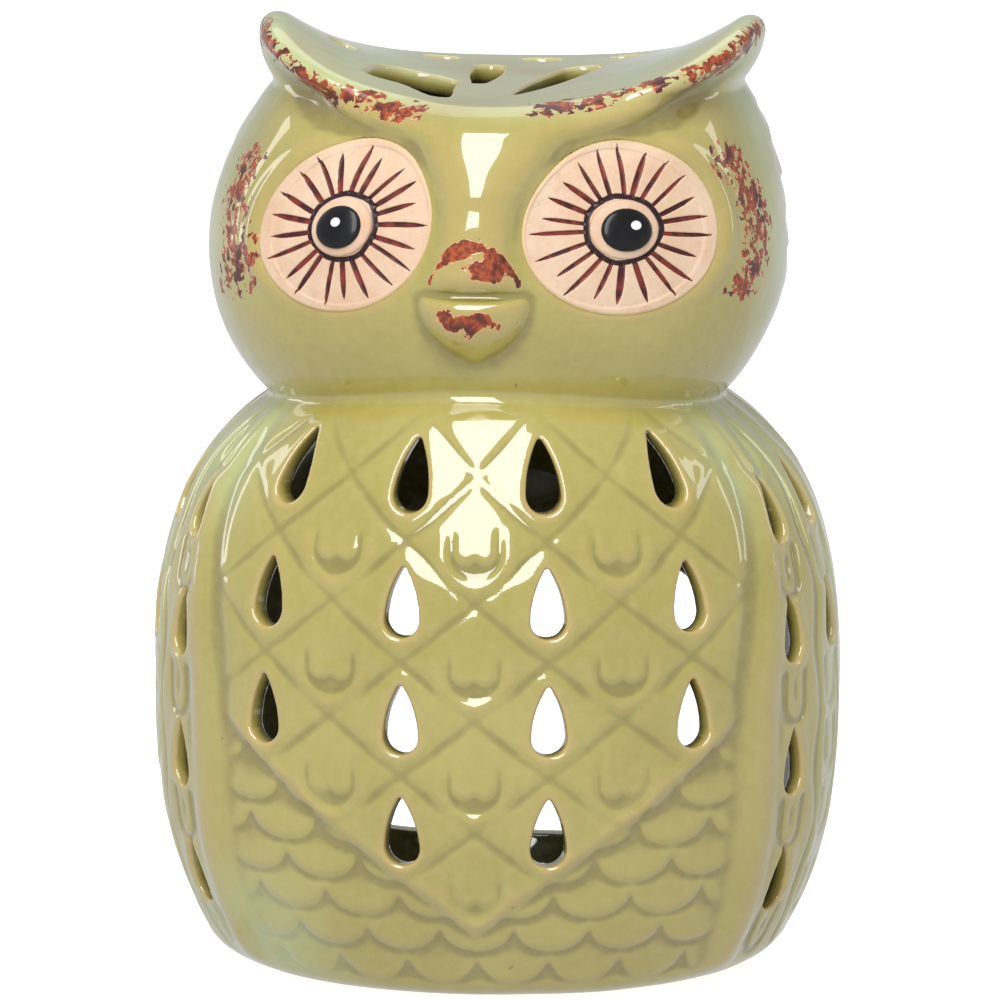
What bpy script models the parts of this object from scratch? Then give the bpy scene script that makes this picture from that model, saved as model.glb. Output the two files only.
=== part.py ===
"""A pierced ceramic owl lantern for one tealight.

The lantern stands on the plane Z = 0 with its axis on Z and its face towards -Y. It is one hollow
casting with a floor, a doorway in its back, teardrop holes in its chest and wings, and vents in the
flat crown between its horns. The eye discs, irises and pupils are seated on the face. A tealight
stands inside on the floor, and leaves through the doorway.
"""

import math

import bmesh
import bpy
from mathutils import Matrix, Vector

MM = 0.001

# Driving dimensions, in millimetres.
WALL = 4.0
FLOOR = 4.0
GAP = 0.3

# Half of the body's width at height z: a swell that is widest at BODY_WIDEST and closes at both ends.
BODY_HALF = 72.2
BODY_WIDEST = 53.0
BODY_RISE, BODY_RISE_POWER = 73.0, 2.9
BODY_DROP, BODY_DROP_POWER = 77.0, 2.4
BODY_FRONT, BODY_BACK = 69.0, 67.0
BODY_SQUARENESS = 2.15

HEAD_HALF = 60.2
HEAD_WIDEST = 148.0
HEAD_RISE, HEAD_DROP, HEAD_POWER = 60.0, 48.0, 2.0
HEAD_FRONT, HEAD_BACK = 56.0, 56.0
HEAD_SQUARENESS = 2.2
NECK_BLEND = 3.0

CHEST_LIFT = 8.0
NECK_Z = 119.0

# The crown is a flat plate at CROWN that sweeps up into a horn at each side. The horns are widest at
# HORN_WIDEST and turn in above it, and HORN_TOP blunts them.
CROWN = 183.0
HORN_RISE = 18.6
HORN_REACH = 53.0
HORN_POWER = 2.3
HORN_Y, HORN_DEPTH = -12.0, 55.0
HORN_HALF, HORN_WIDEST, HORN_BOW = 52.4, 193.5, 26.5
HORN_TOP, HORN_TOP_BLEND = 202.4, 4.0
FLARE_BLEND = 2.0
BASE_EDGE = 5.0

BEAK_Z, BEAK_HEIGHT, BEAK_WIDTH, BEAK_PROUD = 146.0, 11.0, 8.0, 7.0

# The pierced lattice: rows of teardrops up the chest, spaced by azimuth from the front.
LATTICE_FOOT = 15.0
LATTICE_STEP, LATTICE_GROWTH = 22.0, 0.4
LATTICE_ANGLE = 12.6
HOLE_WIDTH, HOLE_HEIGHT = 7.2, 14.2
CHEST_ROWS = {1: (-1, 1), 2: (-3, -1, 1, 3), 3: (-3, -1, 1, 3), 4: (-3, -1, 1, 3)}
WING_HOLES = ((62.0, 98.5), (62.0, 74.0), (62.0, 46.3), (62.0, 21.5), (79.0, 99.3), (79.0, 74.3))
WING_HOLE_WIDTH, WING_HOLE_HEIGHT = 7.2, 13.8

# The crown's vents, as seen from above: tip, heel and width of each teardrop, then the small ovals.
PETAL_TIP, PETAL_HEEL, PETAL_WIDTH = (7.0, -30.0), (24.0, 13.0), 11.0
MIDDLE_TIP, MIDDLE_HEEL, MIDDLE_WIDTH = (0.0, -7.0), (0.0, 26.0), 9.0
OVAL_RADIUS, OVAL_ANGLES = 38.5, (-49.0, -17.0, 17.0, 49.0)
OVAL_LENGTH, OVAL_WIDTH = 9.0, 6.0

# The doorway in the back, wide enough for a hand with a tealight.
DOOR_HALF, DOOR_SILL, DOOR_TOP = 45.0, 11.0, 74.0
DOOR_SQUARENESS = 3.5
DOOR_POINTS = 32

# The eyes, as ellipses in azimuth and height on the face.
EYE_ANGLE, EYE_Z = 31.1, 158.7
EYE_HALF_ANGLE, EYE_HALF_HEIGHT = 20.8, 17.2
EYE_SINK = 1.5
IRIS_HALF_ANGLE, IRIS_HALF_HEIGHT, IRIS_DOME = 7.1, 5.9, 0.6
PUPIL_HALF_ANGLE, PUPIL_HALF_HEIGHT, PUPIL_DOME = 5.2, 4.3, 1.2

# A standard tealight, stood forward of the middle so that the chest hides it.
CANDLE_Y = -33.5
CUP_RADIUS, CUP_HEIGHT, CUP_SHEET = 19.0, 12.5, 0.6
WAX_HEIGHT = 10.5
TAB_RADIUS, TAB_THICK = 6.5, 0.5
WICK_RADIUS, WICK_LENGTH = 0.9, 16.0

# Rings of the outer form and of the hollow: across the base, up the body, up the head, across the crown.
OUTER_SEGMENTS, OUTER_RINGS = 64, (2, 15, 12, 6)
INNER_SEGMENTS, INNER_RINGS = 40, (2, 9, 7, 4)
DROP_POINTS = 12


def clear_scene():
    for item in list(bpy.data.objects):
        bpy.data.objects.remove(item, do_unlink=True)


def collection(name):
    made = bpy.data.collections.new(name)
    bpy.context.scene.collection.children.link(made)
    return made


def material(name, colour, roughness, metallic=0.0, coat=0.0):
    made = bpy.data.materials.new(name)
    made.use_nodes = True
    shader = made.node_tree.nodes["Principled BSDF"]
    shader.inputs["Base Color"].default_value = (*colour, 1.0)
    shader.inputs["Roughness"].default_value = roughness
    shader.inputs["Metallic"].default_value = metallic
    shader.inputs["Coat Weight"].default_value = coat
    return made


def swell(z, widest, drop, rise, drop_power, rise_power):
    """1 at the widest height, falling to 0 at `drop` below it and `rise` above it."""
    share, power = ((widest - z) / drop, drop_power) if z < widest else ((z - widest) / rise, rise_power)
    return (1.0 - min(share, 1.0) ** power) ** (1.0 / power)


def blended_max(a, b, width):
    """The larger of a and b, rounded over where they are nearly equal."""
    share = min(max(0.5 + 0.5 * (a - b) / width, 0.0), 1.0)
    return b + (a - b) * share + width * share * (1.0 - share)


def plan_radius(azimuth, half, front, back, squareness):
    """Radius of a superellipse in plan. Azimuth is 0 at the front and grows towards +X."""
    across, along = math.sin(azimuth), -math.cos(azimuth)
    depth = front if along < 0 else back
    return (abs(across / half) ** squareness + abs(along / depth) ** squareness) ** (-1.0 / squareness)


def side_radius(azimuth, z):
    """Radius of the owl's side wall, in millimetres. The chest rises higher under the chin."""
    facing = max(math.cos(azimuth), 0.0)
    lift = CHEST_LIFT * facing**2 * max(z - BODY_WIDEST, 0.0) / (NECK_Z - BODY_WIDEST)
    body = swell(z - lift, BODY_WIDEST, BODY_DROP, BODY_RISE, BODY_DROP_POWER, BODY_RISE_POWER)
    body *= plan_radius(azimuth, BODY_HALF, BODY_FRONT, BODY_BACK, BODY_SQUARENESS)
    level = swell(z, HEAD_WIDEST, HEAD_DROP, HEAD_RISE, HEAD_POWER, HEAD_POWER)
    flare = (HORN_HALF - (z - HORN_WIDEST) ** 2 / HORN_BOW) / HEAD_HALF
    if z > HEAD_WIDEST:
        level = blended_max(level, flare, FLARE_BLEND / HEAD_HALF)
    head = level * plan_radius(azimuth, HEAD_HALF, HEAD_FRONT, HEAD_BACK, HEAD_SQUARENESS)
    radius = blended_max(body, head, NECK_BLEND)
    if z < BASE_EDGE:
        radius -= BASE_EDGE - math.sqrt(BASE_EDGE**2 - (BASE_EDGE - z) ** 2)
    across = math.degrees(azimuth) / BEAK_WIDTH
    beak = math.exp(-(across**2) - ((z - BEAK_Z) / BEAK_HEIGHT) ** 2)
    return radius + BEAK_PROUD * beak


def crown_height(x, y):
    """Height of the crown plate over a point in plan."""
    horn = (abs(x) / HORN_REACH) ** HORN_POWER * math.exp(-(((y - HORN_Y) / HORN_DEPTH) ** 2))
    return -blended_max(-CROWN - HORN_RISE * horn, -HORN_TOP, HORN_TOP_BLEND)


def on_side(azimuth, z, offset=0.0):
    """The point on the side wall at an azimuth and height, moved out by offset."""
    radius = side_radius(azimuth, z) + offset
    return Vector((radius * math.sin(azimuth), -radius * math.cos(azimuth), z))


def rim_point(azimuth, inset):
    """Where the side wall meets the crown plate."""
    z = CROWN
    for _ in range(8):
        point = on_side(azimuth, z, -inset)
        z = crown_height(point.x, point.y)
    return Vector((point.x, point.y, z - inset))


def form_point(share, azimuth, floor, inset, counts):
    """Point of the owl's form from the middle of its base, share 0, to the middle of its crown, share 1."""
    base_rings, body_rings, head_rings, crown_rings = counts
    ring = share * sum(counts)
    if ring <= base_rings:
        edge = on_side(azimuth, floor, -inset)
        return Vector((edge.x * ring / base_rings, edge.y * ring / base_rings, floor))
    ring -= base_rings
    if ring <= body_rings:
        up = 0.5 - 0.5 * math.cos(math.pi * ring / body_rings)
        return on_side(azimuth, floor + (NECK_Z - floor) * up, -inset)
    ring -= body_rings
    rim = rim_point(azimuth, inset)
    if ring < head_rings:
        up = ring / head_rings
        return on_side(azimuth, NECK_Z + (rim.z - NECK_Z) * up, -inset)
    left = 1.0 - (ring - head_rings) / crown_rings
    x, y = rim.x * left, rim.y * left
    return Vector((x, y, crown_height(x, y) - inset))


def shaped_sphere(name, segments, rings, place):
    """A sphere primitive whose points are moved by place(share from pole to pole, azimuth)."""
    mesh = bpy.data.meshes.new(name)
    bm = bmesh.new()
    bmesh.ops.create_uvsphere(bm, u_segments=segments, v_segments=rings, radius=1.0)
    for vert in bm.verts:
        share = 1.0 - math.acos(max(-1.0, min(1.0, vert.co.z))) / math.pi
        azimuth = math.atan2(vert.co.x, -vert.co.y)
        vert.co = place(round(share * rings) / rings, azimuth) * MM
    bm.to_mesh(mesh)
    bm.free()
    return bpy.data.objects.new(name, mesh)


def owl_form(name, segments, counts, floor=0.0, inset=0.0):
    return shaped_sphere(
        name, segments, sum(counts), lambda share, azimuth: form_point(share, azimuth, floor, inset, counts)
    )


def drop_outline(width, height, points=DROP_POINTS):
    """A teardrop about the origin: a round heel at the bottom and a point at the top."""
    radius = width / 2.0
    heel = -height / 2.0 + radius
    tip = height / 2.0
    lean = math.asin(radius / (tip - heel))
    start, sweep = lean, -(math.pi + 2.0 * lean)
    arc = [start + sweep * step / (points - 2) for step in range(points - 1)]
    return [(radius * math.cos(a), heel + radius * math.sin(a)) for a in arc] + [(0.0, tip)]


def oval_outline(half_width, half_height, squareness, points):
    """A superellipse about the origin."""
    found = []
    for step in range(points):
        a = 2.0 * math.pi * step / points
        c, s = math.cos(a), math.sin(a)
        scale = (abs(c) ** squareness + abs(s) ** squareness) ** (-1.0 / squareness)
        found.append((half_width * c * scale, half_height * s * scale))
    return found


def prism(bm, outline, frame, near, far):
    """Adds a closed prism of the outline to bm. Frame gives its place, with local Z along its length."""
    ends = [[bm.verts.new(frame @ Vector((x, y, z)) * MM) for x, y in outline] for z in (near, far)]
    faces = [bm.faces.new(ends[0]), bm.faces.new(ends[1])]
    for i in range(len(outline)):
        j = (i + 1) % len(outline)
        faces.append(bm.faces.new((ends[0][i], ends[0][j], ends[1][j], ends[1][i])))
    bmesh.ops.recalc_face_normals(bm, faces=faces)


def outward_frame(azimuth, z):
    """A frame on the side wall, with local Y up and local Z straight out from the axis."""
    out = Vector((math.sin(azimuth), -math.cos(azimuth), 0.0))
    up = Vector((0.0, 0.0, 1.0))
    across = up.cross(out)
    turn = Matrix((across, up, out)).transposed().to_4x4()
    return Matrix.Translation(on_side(azimuth, z)) @ turn


def plan_frame(tip, heel):
    """A frame looking down on the crown, with local Y from heel to tip."""
    tip, heel = Vector(tip), Vector(heel)
    up = (tip - heel).normalized()
    across = Vector((up.y, -up.x))
    turn = Matrix(((across.x, up.x, 0.0), (across.y, up.y, 0.0), (0.0, 0.0, 1.0))).to_4x4()
    middle = (tip + heel) / 2.0
    return Matrix.Translation((middle.x, middle.y, CROWN)) @ turn


def lattice_z(row):
    return LATTICE_FOOT + LATTICE_STEP * row + LATTICE_GROWTH * row**2


def hole_cutters():
    """All the teardrops, vents and the doorway, as one object of separate prisms."""
    bm = bmesh.new()
    chest = drop_outline(HOLE_WIDTH, HOLE_HEIGHT)
    for row, columns in CHEST_ROWS.items():
        for column in columns:
            frame = outward_frame(math.radians(column * LATTICE_ANGLE), lattice_z(row))
            prism(bm, chest, frame, -4.0 * WALL, 3.0 * WALL)
    wing = drop_outline(WING_HOLE_WIDTH, WING_HOLE_HEIGHT)
    for angle, z in WING_HOLES:
        for side in (-1.0, 1.0):
            prism(bm, wing, outward_frame(math.radians(side * angle), z), -4.0 * WALL, 3.0 * WALL)
    for side in (-1.0, 1.0):
        tip, heel = (side * PETAL_TIP[0], PETAL_TIP[1]), (side * PETAL_HEEL[0], PETAL_HEEL[1])
        length = (Vector(tip) - Vector(heel)).length
        prism(bm, drop_outline(PETAL_WIDTH, length), plan_frame(tip, heel), -3.0 * WALL, 4.0 * WALL)
    length = MIDDLE_HEEL[1] - MIDDLE_TIP[1]
    prism(bm, drop_outline(MIDDLE_WIDTH, length), plan_frame(MIDDLE_TIP, MIDDLE_HEEL), -3.0 * WALL, 4.0 * WALL)
    oval = oval_outline(OVAL_LENGTH / 2.0, OVAL_WIDTH / 2.0, 2.0, DROP_POINTS)
    for angle in OVAL_ANGLES:
        turn = Matrix.Rotation(-math.radians(angle), 4, "Z")
        frame = turn @ Matrix.Translation((0.0, OVAL_RADIUS, CROWN))
        prism(bm, oval, frame, -3.0 * WALL, 4.0 * WALL)
    door = oval_outline(DOOR_HALF, (DOOR_TOP - DOOR_SILL) / 2.0, DOOR_SQUARENESS, DOOR_POINTS)
    back = Matrix(((-1.0, 0.0, 0.0), (0.0, 0.0, 1.0), (0.0, 1.0, 0.0))).to_4x4()
    middle = Matrix.Translation((0.0, 0.0, (DOOR_TOP + DOOR_SILL) / 2.0))
    prism(bm, door, middle @ back, 0.3 * BODY_BACK, 1.3 * BODY_BACK)
    mesh = bpy.data.meshes.new("hole_cutters")
    bm.to_mesh(mesh)
    bm.free()
    return bpy.data.objects.new("hole_cutters", mesh)


def face_lens(name, side, half_angle, half_height, front, back, segments, rings):
    """A lens that follows the face at one eye. front and back give its offsets from the face's surface
    for a share of the radius from 0 at its middle to 1 at its edge. An odd number of rings gives the
    edge a ring for each side."""
    half_rings = (rings - 1) // 2

    def place(share, azimuth):
        ring = round(share * rings)
        radius = min(ring, rings - ring) / half_rings
        offset = back(radius) if ring <= half_rings else front(radius)
        angle = math.radians(side * EYE_ANGLE + half_angle * radius * math.cos(azimuth))
        z = EYE_Z + half_height * radius * math.sin(azimuth)
        return on_side(angle, z, offset)

    return shaped_sphere(name, segments, rings, place)


def cut(target, cutter):
    step = target.modifiers.new(cutter.name, "BOOLEAN")
    step.operation = "DIFFERENCE"
    step.object = cutter
    step.solver = "EXACT"


def turned(name, profile, segments):
    """A solid turned about the candle's axis. The profile of (radius, z) runs from top to bottom."""
    mesh = bpy.data.meshes.new(name)
    bm = bmesh.new()
    points = [bm.verts.new(Vector((radius, 0.0, z)) * MM) for radius, z in profile]
    for first, second in zip(points, points[1:]):
        bm.edges.new((first, second))
    bm.to_mesh(mesh)
    bm.free()
    made = bpy.data.objects.new(name, mesh)
    screw = made.modifiers.new("turn", "SCREW")
    screw.steps = screw.render_steps = segments
    screw.use_merge_vertices = True
    screw.merge_threshold = 0.00001
    return made


def add(item, home, finish=None):
    home.objects.link(item)
    if finish:
        item.data.materials.append(finish)
        item.data.shade_smooth()
        item.data.set_sharp_from_angle(angle=math.radians(40.0))
    else:
        item.hide_render = True
        item.display_type = "WIRE"
    return item


def build_shell(parts, cutters, glaze):
    shell = add(owl_form("owl_shell", OUTER_SEGMENTS, OUTER_RINGS), parts, glaze)
    hollow = owl_form("hollow_cutter", INNER_SEGMENTS, INNER_RINGS, FLOOR, WALL)
    cut(shell, add(hollow, cutters))
    cut(shell, add(hole_cutters(), cutters))
    for side, word in ((-1.0, "right"), (1.0, "left")):
        socket = face_lens(
            f"{word}_socket_cutter",
            side,
            EYE_HALF_ANGLE + 0.3,
            EYE_HALF_HEIGHT + GAP,
            lambda radius: 3.0 * WALL,
            lambda radius: -EYE_SINK,
            28,
            13,
        )
        cut(shell, add(socket, cutters))


def build_eye(parts, side, word, clay, rim, black):
    """The disc sits in its socket, the iris on the disc, and the pupil on the iris."""

    def iris_front(radius):
        return GAP + 0.5 + IRIS_DOME * (1.0 - radius**2)

    def pupil_back(radius):
        return iris_front(radius * PUPIL_HALF_HEIGHT / IRIS_HALF_HEIGHT) + GAP

    disc = face_lens(
        f"eye_disc_{word}",
        side,
        EYE_HALF_ANGLE,
        EYE_HALF_HEIGHT,
        lambda radius: -0.1,
        lambda radius: GAP - EYE_SINK,
        28,
        13,
    )
    iris = face_lens(
        f"iris_{word}", side, IRIS_HALF_ANGLE, IRIS_HALF_HEIGHT, iris_front, lambda radius: 0.2, 24, 11
    )
    pupil = face_lens(
        f"pupil_{word}",
        side,
        PUPIL_HALF_ANGLE,
        PUPIL_HALF_HEIGHT,
        lambda radius: pupil_back(1.0) + 0.4 + PUPIL_DOME * (1.0 - radius**2),
        pupil_back,
        20,
        11,
    )
    add(disc, parts, clay)
    add(iris, parts, rim)
    add(pupil, parts, black)


def build_candle(parts, metal, wax, cotton):
    seat = bpy.data.objects.new("candle_seat", None)
    parts.objects.link(seat)
    seat.location = Vector((0.0, CANDLE_Y, FLOOR + GAP)) * MM
    inside = CUP_RADIUS - CUP_SHEET
    cup = turned(
        "tealight_cup",
        [
            (0.0, CUP_SHEET),
            (inside, CUP_SHEET),
            (inside, CUP_HEIGHT),
            (CUP_RADIUS, CUP_HEIGHT),
            (CUP_RADIUS, 0.0),
            (0.0, 0.0),
        ],
        32,
    )
    tab_top = CUP_SHEET + GAP + TAB_THICK
    tab = turned(
        "wick_tab",
        [
            (0.0, tab_top),
            (TAB_RADIUS, tab_top),
            (TAB_RADIUS, CUP_SHEET + GAP),
            (0.0, CUP_SHEET + GAP),
        ],
        20,
    )
    wax_base = tab_top + GAP
    bore = WICK_RADIUS + GAP
    candle = turned(
        "tealight_wax",
        [
            (bore, WAX_HEIGHT),
            (inside - GAP, WAX_HEIGHT),
            (inside - GAP, CUP_SHEET + GAP),
            (TAB_RADIUS + GAP, CUP_SHEET + GAP),
            (TAB_RADIUS + GAP, wax_base),
            (bore, wax_base),
            (bore, WAX_HEIGHT),
        ],
        32,
    )
    wick = turned(
        "tealight_wick",
        [
            (0.0, WICK_LENGTH),
            (WICK_RADIUS, WICK_LENGTH),
            (WICK_RADIUS, wax_base),
            (0.0, wax_base),
        ],
        10,
    )
    for piece, finish in ((cup, metal), (tab, metal), (candle, wax), (wick, cotton)):
        add(piece, parts, finish)
        piece.parent = seat


def build():
    clear_scene()
    parts = collection("owl_lantern")
    cutters = collection("cutters")
    glaze = material("celadon_glaze", (0.50, 0.47, 0.15), 0.08, coat=0.6)
    clay = material("bare_clay", (0.80, 0.58, 0.40), 0.75)
    cream = material("cream_clay", (0.82, 0.62, 0.42), 0.6)
    black = material("black_gloss", (0.01, 0.01, 0.015), 0.08, coat=0.5)
    metal = material("aluminium", (0.78, 0.79, 0.80), 0.3, metallic=1.0)
    wax = material("wax", (0.90, 0.88, 0.82), 0.45)
    cotton = material("cotton", (0.86, 0.84, 0.78), 0.9)
    build_shell(parts, cutters, glaze)
    for side, word in ((-1.0, "right"), (1.0, "left")):
        build_eye(parts, side, word, clay, cream, black)
    build_candle(parts, metal, wax, cotton)


build()
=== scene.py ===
"""The owl lantern's visual model: a glazed skin with quilted chest, scales and wings, painted clay
eyes and a tealight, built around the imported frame. Lengths are in millimetres until a mesh is made."""

import math

import bpy
import numpy as np
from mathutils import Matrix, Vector


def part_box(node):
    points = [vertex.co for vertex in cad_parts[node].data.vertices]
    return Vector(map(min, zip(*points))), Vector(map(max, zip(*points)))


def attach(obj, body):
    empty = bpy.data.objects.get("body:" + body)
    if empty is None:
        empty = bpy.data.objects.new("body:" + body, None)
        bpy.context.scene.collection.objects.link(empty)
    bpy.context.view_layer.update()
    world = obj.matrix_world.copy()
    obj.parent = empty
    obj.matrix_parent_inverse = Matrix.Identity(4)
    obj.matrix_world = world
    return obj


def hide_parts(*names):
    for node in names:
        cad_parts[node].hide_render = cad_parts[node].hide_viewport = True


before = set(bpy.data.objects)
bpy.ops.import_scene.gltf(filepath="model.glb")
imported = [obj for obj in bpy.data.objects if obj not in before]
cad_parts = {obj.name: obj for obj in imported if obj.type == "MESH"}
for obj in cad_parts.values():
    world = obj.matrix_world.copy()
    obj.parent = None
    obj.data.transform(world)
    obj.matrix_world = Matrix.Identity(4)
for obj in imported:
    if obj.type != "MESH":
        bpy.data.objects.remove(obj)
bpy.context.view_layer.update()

MM = 0.001
SEED = 11
VOXEL = 0.55

# The owl's form, as in the CAD model.
WALL = 4.0
FLOOR = 4.0
BODY_HALF = 72.2
BODY_WIDEST = 53.0
BODY_RISE, BODY_RISE_POWER = 73.0, 2.9
BODY_DROP, BODY_DROP_POWER = 77.0, 2.4
BODY_FRONT, BODY_BACK = 69.0, 67.0
BODY_SQUARENESS = 2.15
HEAD_HALF = 60.2
HEAD_WIDEST = 148.0
HEAD_RISE, HEAD_DROP, HEAD_POWER = 60.0, 48.0, 2.0
HEAD_FRONT, HEAD_BACK = 56.0, 56.0
HEAD_SQUARENESS = 2.2
NECK_BLEND = 3.0
CHEST_LIFT = 8.0
NECK_Z = 119.0
CROWN = 183.0
HORN_RISE = 18.6
HORN_REACH = 53.0
HORN_POWER = 2.3
HORN_TOP, HORN_TOP_ROUND = 203.0, 5.0
HORN_Y, HORN_DEPTH = -12.0, 55.0
HORN_HALF, HORN_WIDEST, HORN_BOW = 52.4, 193.5, 26.5
FLARE_BLEND = 2.0
BASE_EDGE = 5.0

# The lattice of the chest: u counts half columns round the front, v counts rows up it.
LATTICE_FOOT = 15.0
LATTICE_STEP, LATTICE_GROWTH = 22.0, 0.4
LATTICE_ANGLE = 12.6
HOLE_WIDTH, HOLE_HEIGHT = 7.2, 14.2
CHEST_ROWS = {1: (-1, 1), 2: (-3, -1, 1, 3), 3: (-3, -1, 1, 3), 4: (-3, -1, 1, 3)}
WING_HOLES = ((62.0, 98.5), (62.0, 74.0), (62.0, 46.3), (62.0, 21.5), (79.0, 99.3), (79.0, 74.3))
WING_HOLE_WIDTH, WING_HOLE_HEIGHT = 7.2, 13.8
HOLE_TIP, HOLE_BOW = 0.55, 21.0
# Vents in the crown: the tip's place and radius, the heel's, and the radius of the flanks. The first two
# are lobes of one vent.
VENTS = (
    ((-26.2, -20.5), 2.6, (-19.0, -8.6), 6.8, 60.0),
    ((-12.2, -30.5), 1.9, (-18.2, -9.4), 6.0, 60.0),
    ((2.6, -23.5), 0.5, (14.6, 14.2), 4.2, 160.0),
    ((-5.7, -5.5), 0.9, (-5.3, 21.0), 3.0, 90.0),
)
VENT_BLEND = 7.0
OVALS = ((-35.5, 4.0), (-16.8, 32.0), (5.0, 34.0), (23.3, 29.0))
OVAL_LENGTH, OVAL_WIDTH = 8.5, 5.6
DOOR_HALF, DOOR_SILL, DOOR_TOP = 45.0, 11.0, 74.0
DOOR_SQUARENESS = 3.5
EYE_ANGLE, EYE_Z = 31.1, 158.7
EYE_HALF_ANGLE, EYE_HALF_HEIGHT = {-1: 20.2, 1: 22.0}, 17.1
EYE_SINK = 1.5
RING_SHARE, PUPIL_SHARE = 0.372, 0.25

# The nose's reach at a list of heights, and the face's millimetres for each degree.
NOSE_LINE = (
    (144.0, 151.0, 156.0, 161.0, 163.6, 166.8, 174.0, 183.0),
    (3.4, 3.5, 3.4, 3.65, 3.65, 4.3, 3.7, 2.2),
)
FACE_ARC = math.pi / 180.0 * 58.0

# The tealight.
CUP_RADIUS, CUP_HEIGHT, CUP_SHEET = 19.0, 12.5, 0.6
WAX_HEIGHT = 10.5
TAB_RADIUS = 6.5
WICK_RADIUS, WICK_LENGTH = 0.9, 16.0

# Maps of the side wall: one column for each step of azimuth, one row for each step of height.
MAP_DEGREES = 0.2
MAP_STEP = 0.25
MAP_LOW, MAP_HIGH = -4.0, 206.0
MAP_RADIUS = 64.0
ARC = math.pi / 180.0 * MAP_RADIUS
LIP = 0.8
HEAD_LEAN = 3.4
RIM_ROUND = 5.6
FLARE_FADE, FLARE_FADE_WIDTH = 0.08, 0.5

# The grid that the skin is meshed on, and how far from an opening its distance is worked out.
GRID_LOW, GRID_HIGH = (-74.0, -72.0, -1.5), (74.0, 70.0, 202.5)
FAR = 50.0
HOLE_REACH, HOLE_REACH_DEGREES = 14.0, 16.0
PART_SIZE = 1000000


def swell(z, widest, drop, rise, drop_power, rise_power):
    """1 at the widest height, falling to 0 at `drop` below it and `rise` above it."""
    low = z < widest
    share = np.clip(np.where(low, (widest - z) / drop, (z - widest) / rise), 0.0, 1.0)
    power = np.where(low, drop_power, rise_power)
    return (1.0 - share**power) ** (1.0 / power)


def blended_max(a, b, width):
    share = np.clip(0.5 + 0.5 * (a - b) / width, 0.0, 1.0)
    return b + (a - b) * share + width * share * (1.0 - share)


def round_max(a, b, radius):
    """The larger of two distances, with the edge between them rounded to a radius."""
    return np.minimum(-radius, np.maximum(a, b)) + np.hypot(
        np.maximum(a + radius, 0.0), np.maximum(b + radius, 0.0)
    )


def ease(low, high, value):
    share = np.clip((value - low) / (high - low), 0.0, 1.0)
    return share * share * (3.0 - 2.0 * share)


def bump(value, width):
    return np.exp(-((value / width) ** 2))


def plan_radius(azimuth, half, front, back, squareness):
    across, along = np.sin(azimuth), -np.cos(azimuth)
    depth = np.where(along < 0, front, back)
    total = np.abs(across / half) ** squareness + np.abs(along / depth) ** squareness
    return total ** (-1.0 / squareness)


def side_radius(azimuth, z):
    """Radius of the side wall without its beak. Azimuth is 0 at the front and grows towards +X."""
    facing = np.maximum(np.cos(azimuth), 0.0)
    lift = CHEST_LIFT * facing**2 * np.maximum(z - BODY_WIDEST, 0.0) / (NECK_Z - BODY_WIDEST)
    body = swell(z - lift, BODY_WIDEST, BODY_DROP, BODY_RISE, BODY_DROP_POWER, BODY_RISE_POWER)
    body = body * plan_radius(azimuth, BODY_HALF, BODY_FRONT, BODY_BACK, BODY_SQUARENESS)
    level = swell(z, HEAD_WIDEST, HEAD_DROP, HEAD_RISE, HEAD_POWER, HEAD_POWER)
    flare = (HORN_HALF - (z - HORN_WIDEST) ** 2 / HORN_BOW) / HEAD_HALF
    flare = flare - FLARE_FADE * bump(azimuth, FLARE_FADE_WIDTH)
    level = np.where(z > HEAD_WIDEST, blended_max(level, flare, FLARE_BLEND / HEAD_HALF), level)
    head = level * plan_radius(azimuth, HEAD_HALF, HEAD_FRONT, HEAD_BACK, HEAD_SQUARENESS)
    radius = blended_max(body, head, NECK_BLEND)
    foot = np.clip(BASE_EDGE - z, 0.0, BASE_EDGE)
    return radius - BASE_EDGE + np.sqrt(BASE_EDGE**2 - foot**2)


def horn_rise(x, y):
    """How far the crown rises towards its two horns."""
    return HORN_RISE * (np.abs(x) / HORN_REACH) ** HORN_POWER * bump(y - HORN_Y, HORN_DEPTH)


def crown_height(x, y):
    return CROWN + horn_rise(x, y)


def rim_height(azimuth):
    """Height at which the side wall meets the crown."""
    z = np.full_like(azimuth, CROWN)
    for _ in range(8):
        radius = side_radius(azimuth, z)
        z = crown_height(radius * np.sin(azimuth), -radius * np.cos(azimuth))
    return z


def lattice_z(row):
    return LATTICE_FOOT + LATTICE_STEP * row + LATTICE_GROWTH * row**2


def lattice_row(z):
    inner = np.maximum(LATTICE_STEP**2 + 4.0 * LATTICE_GROWTH * (z - LATTICE_FOOT), 1.0)
    return (np.sqrt(inner) - LATTICE_STEP) / (2.0 * LATTICE_GROWTH)


def blurred(field, width):
    """A map softened by a Gaussian of this width in millimetres."""
    around = np.fft.fftfreq(field.shape[0], MAP_DEGREES * ARC)
    upward = np.fft.rfftfreq(field.shape[1], MAP_STEP)
    fade = np.exp(-2.0 * (math.pi * width) ** 2 * (around[:, None] ** 2 + upward[None, :] ** 2))
    return np.fft.irfft2(np.fft.rfft2(field) * fade, field.shape)


def wandering(shape, width, seed):
    """A smooth random map with a spread of 1 and features about as wide as width."""
    field = blurred(np.random.default_rng(seed).standard_normal(shape), width)
    return field / field.std()


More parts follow.
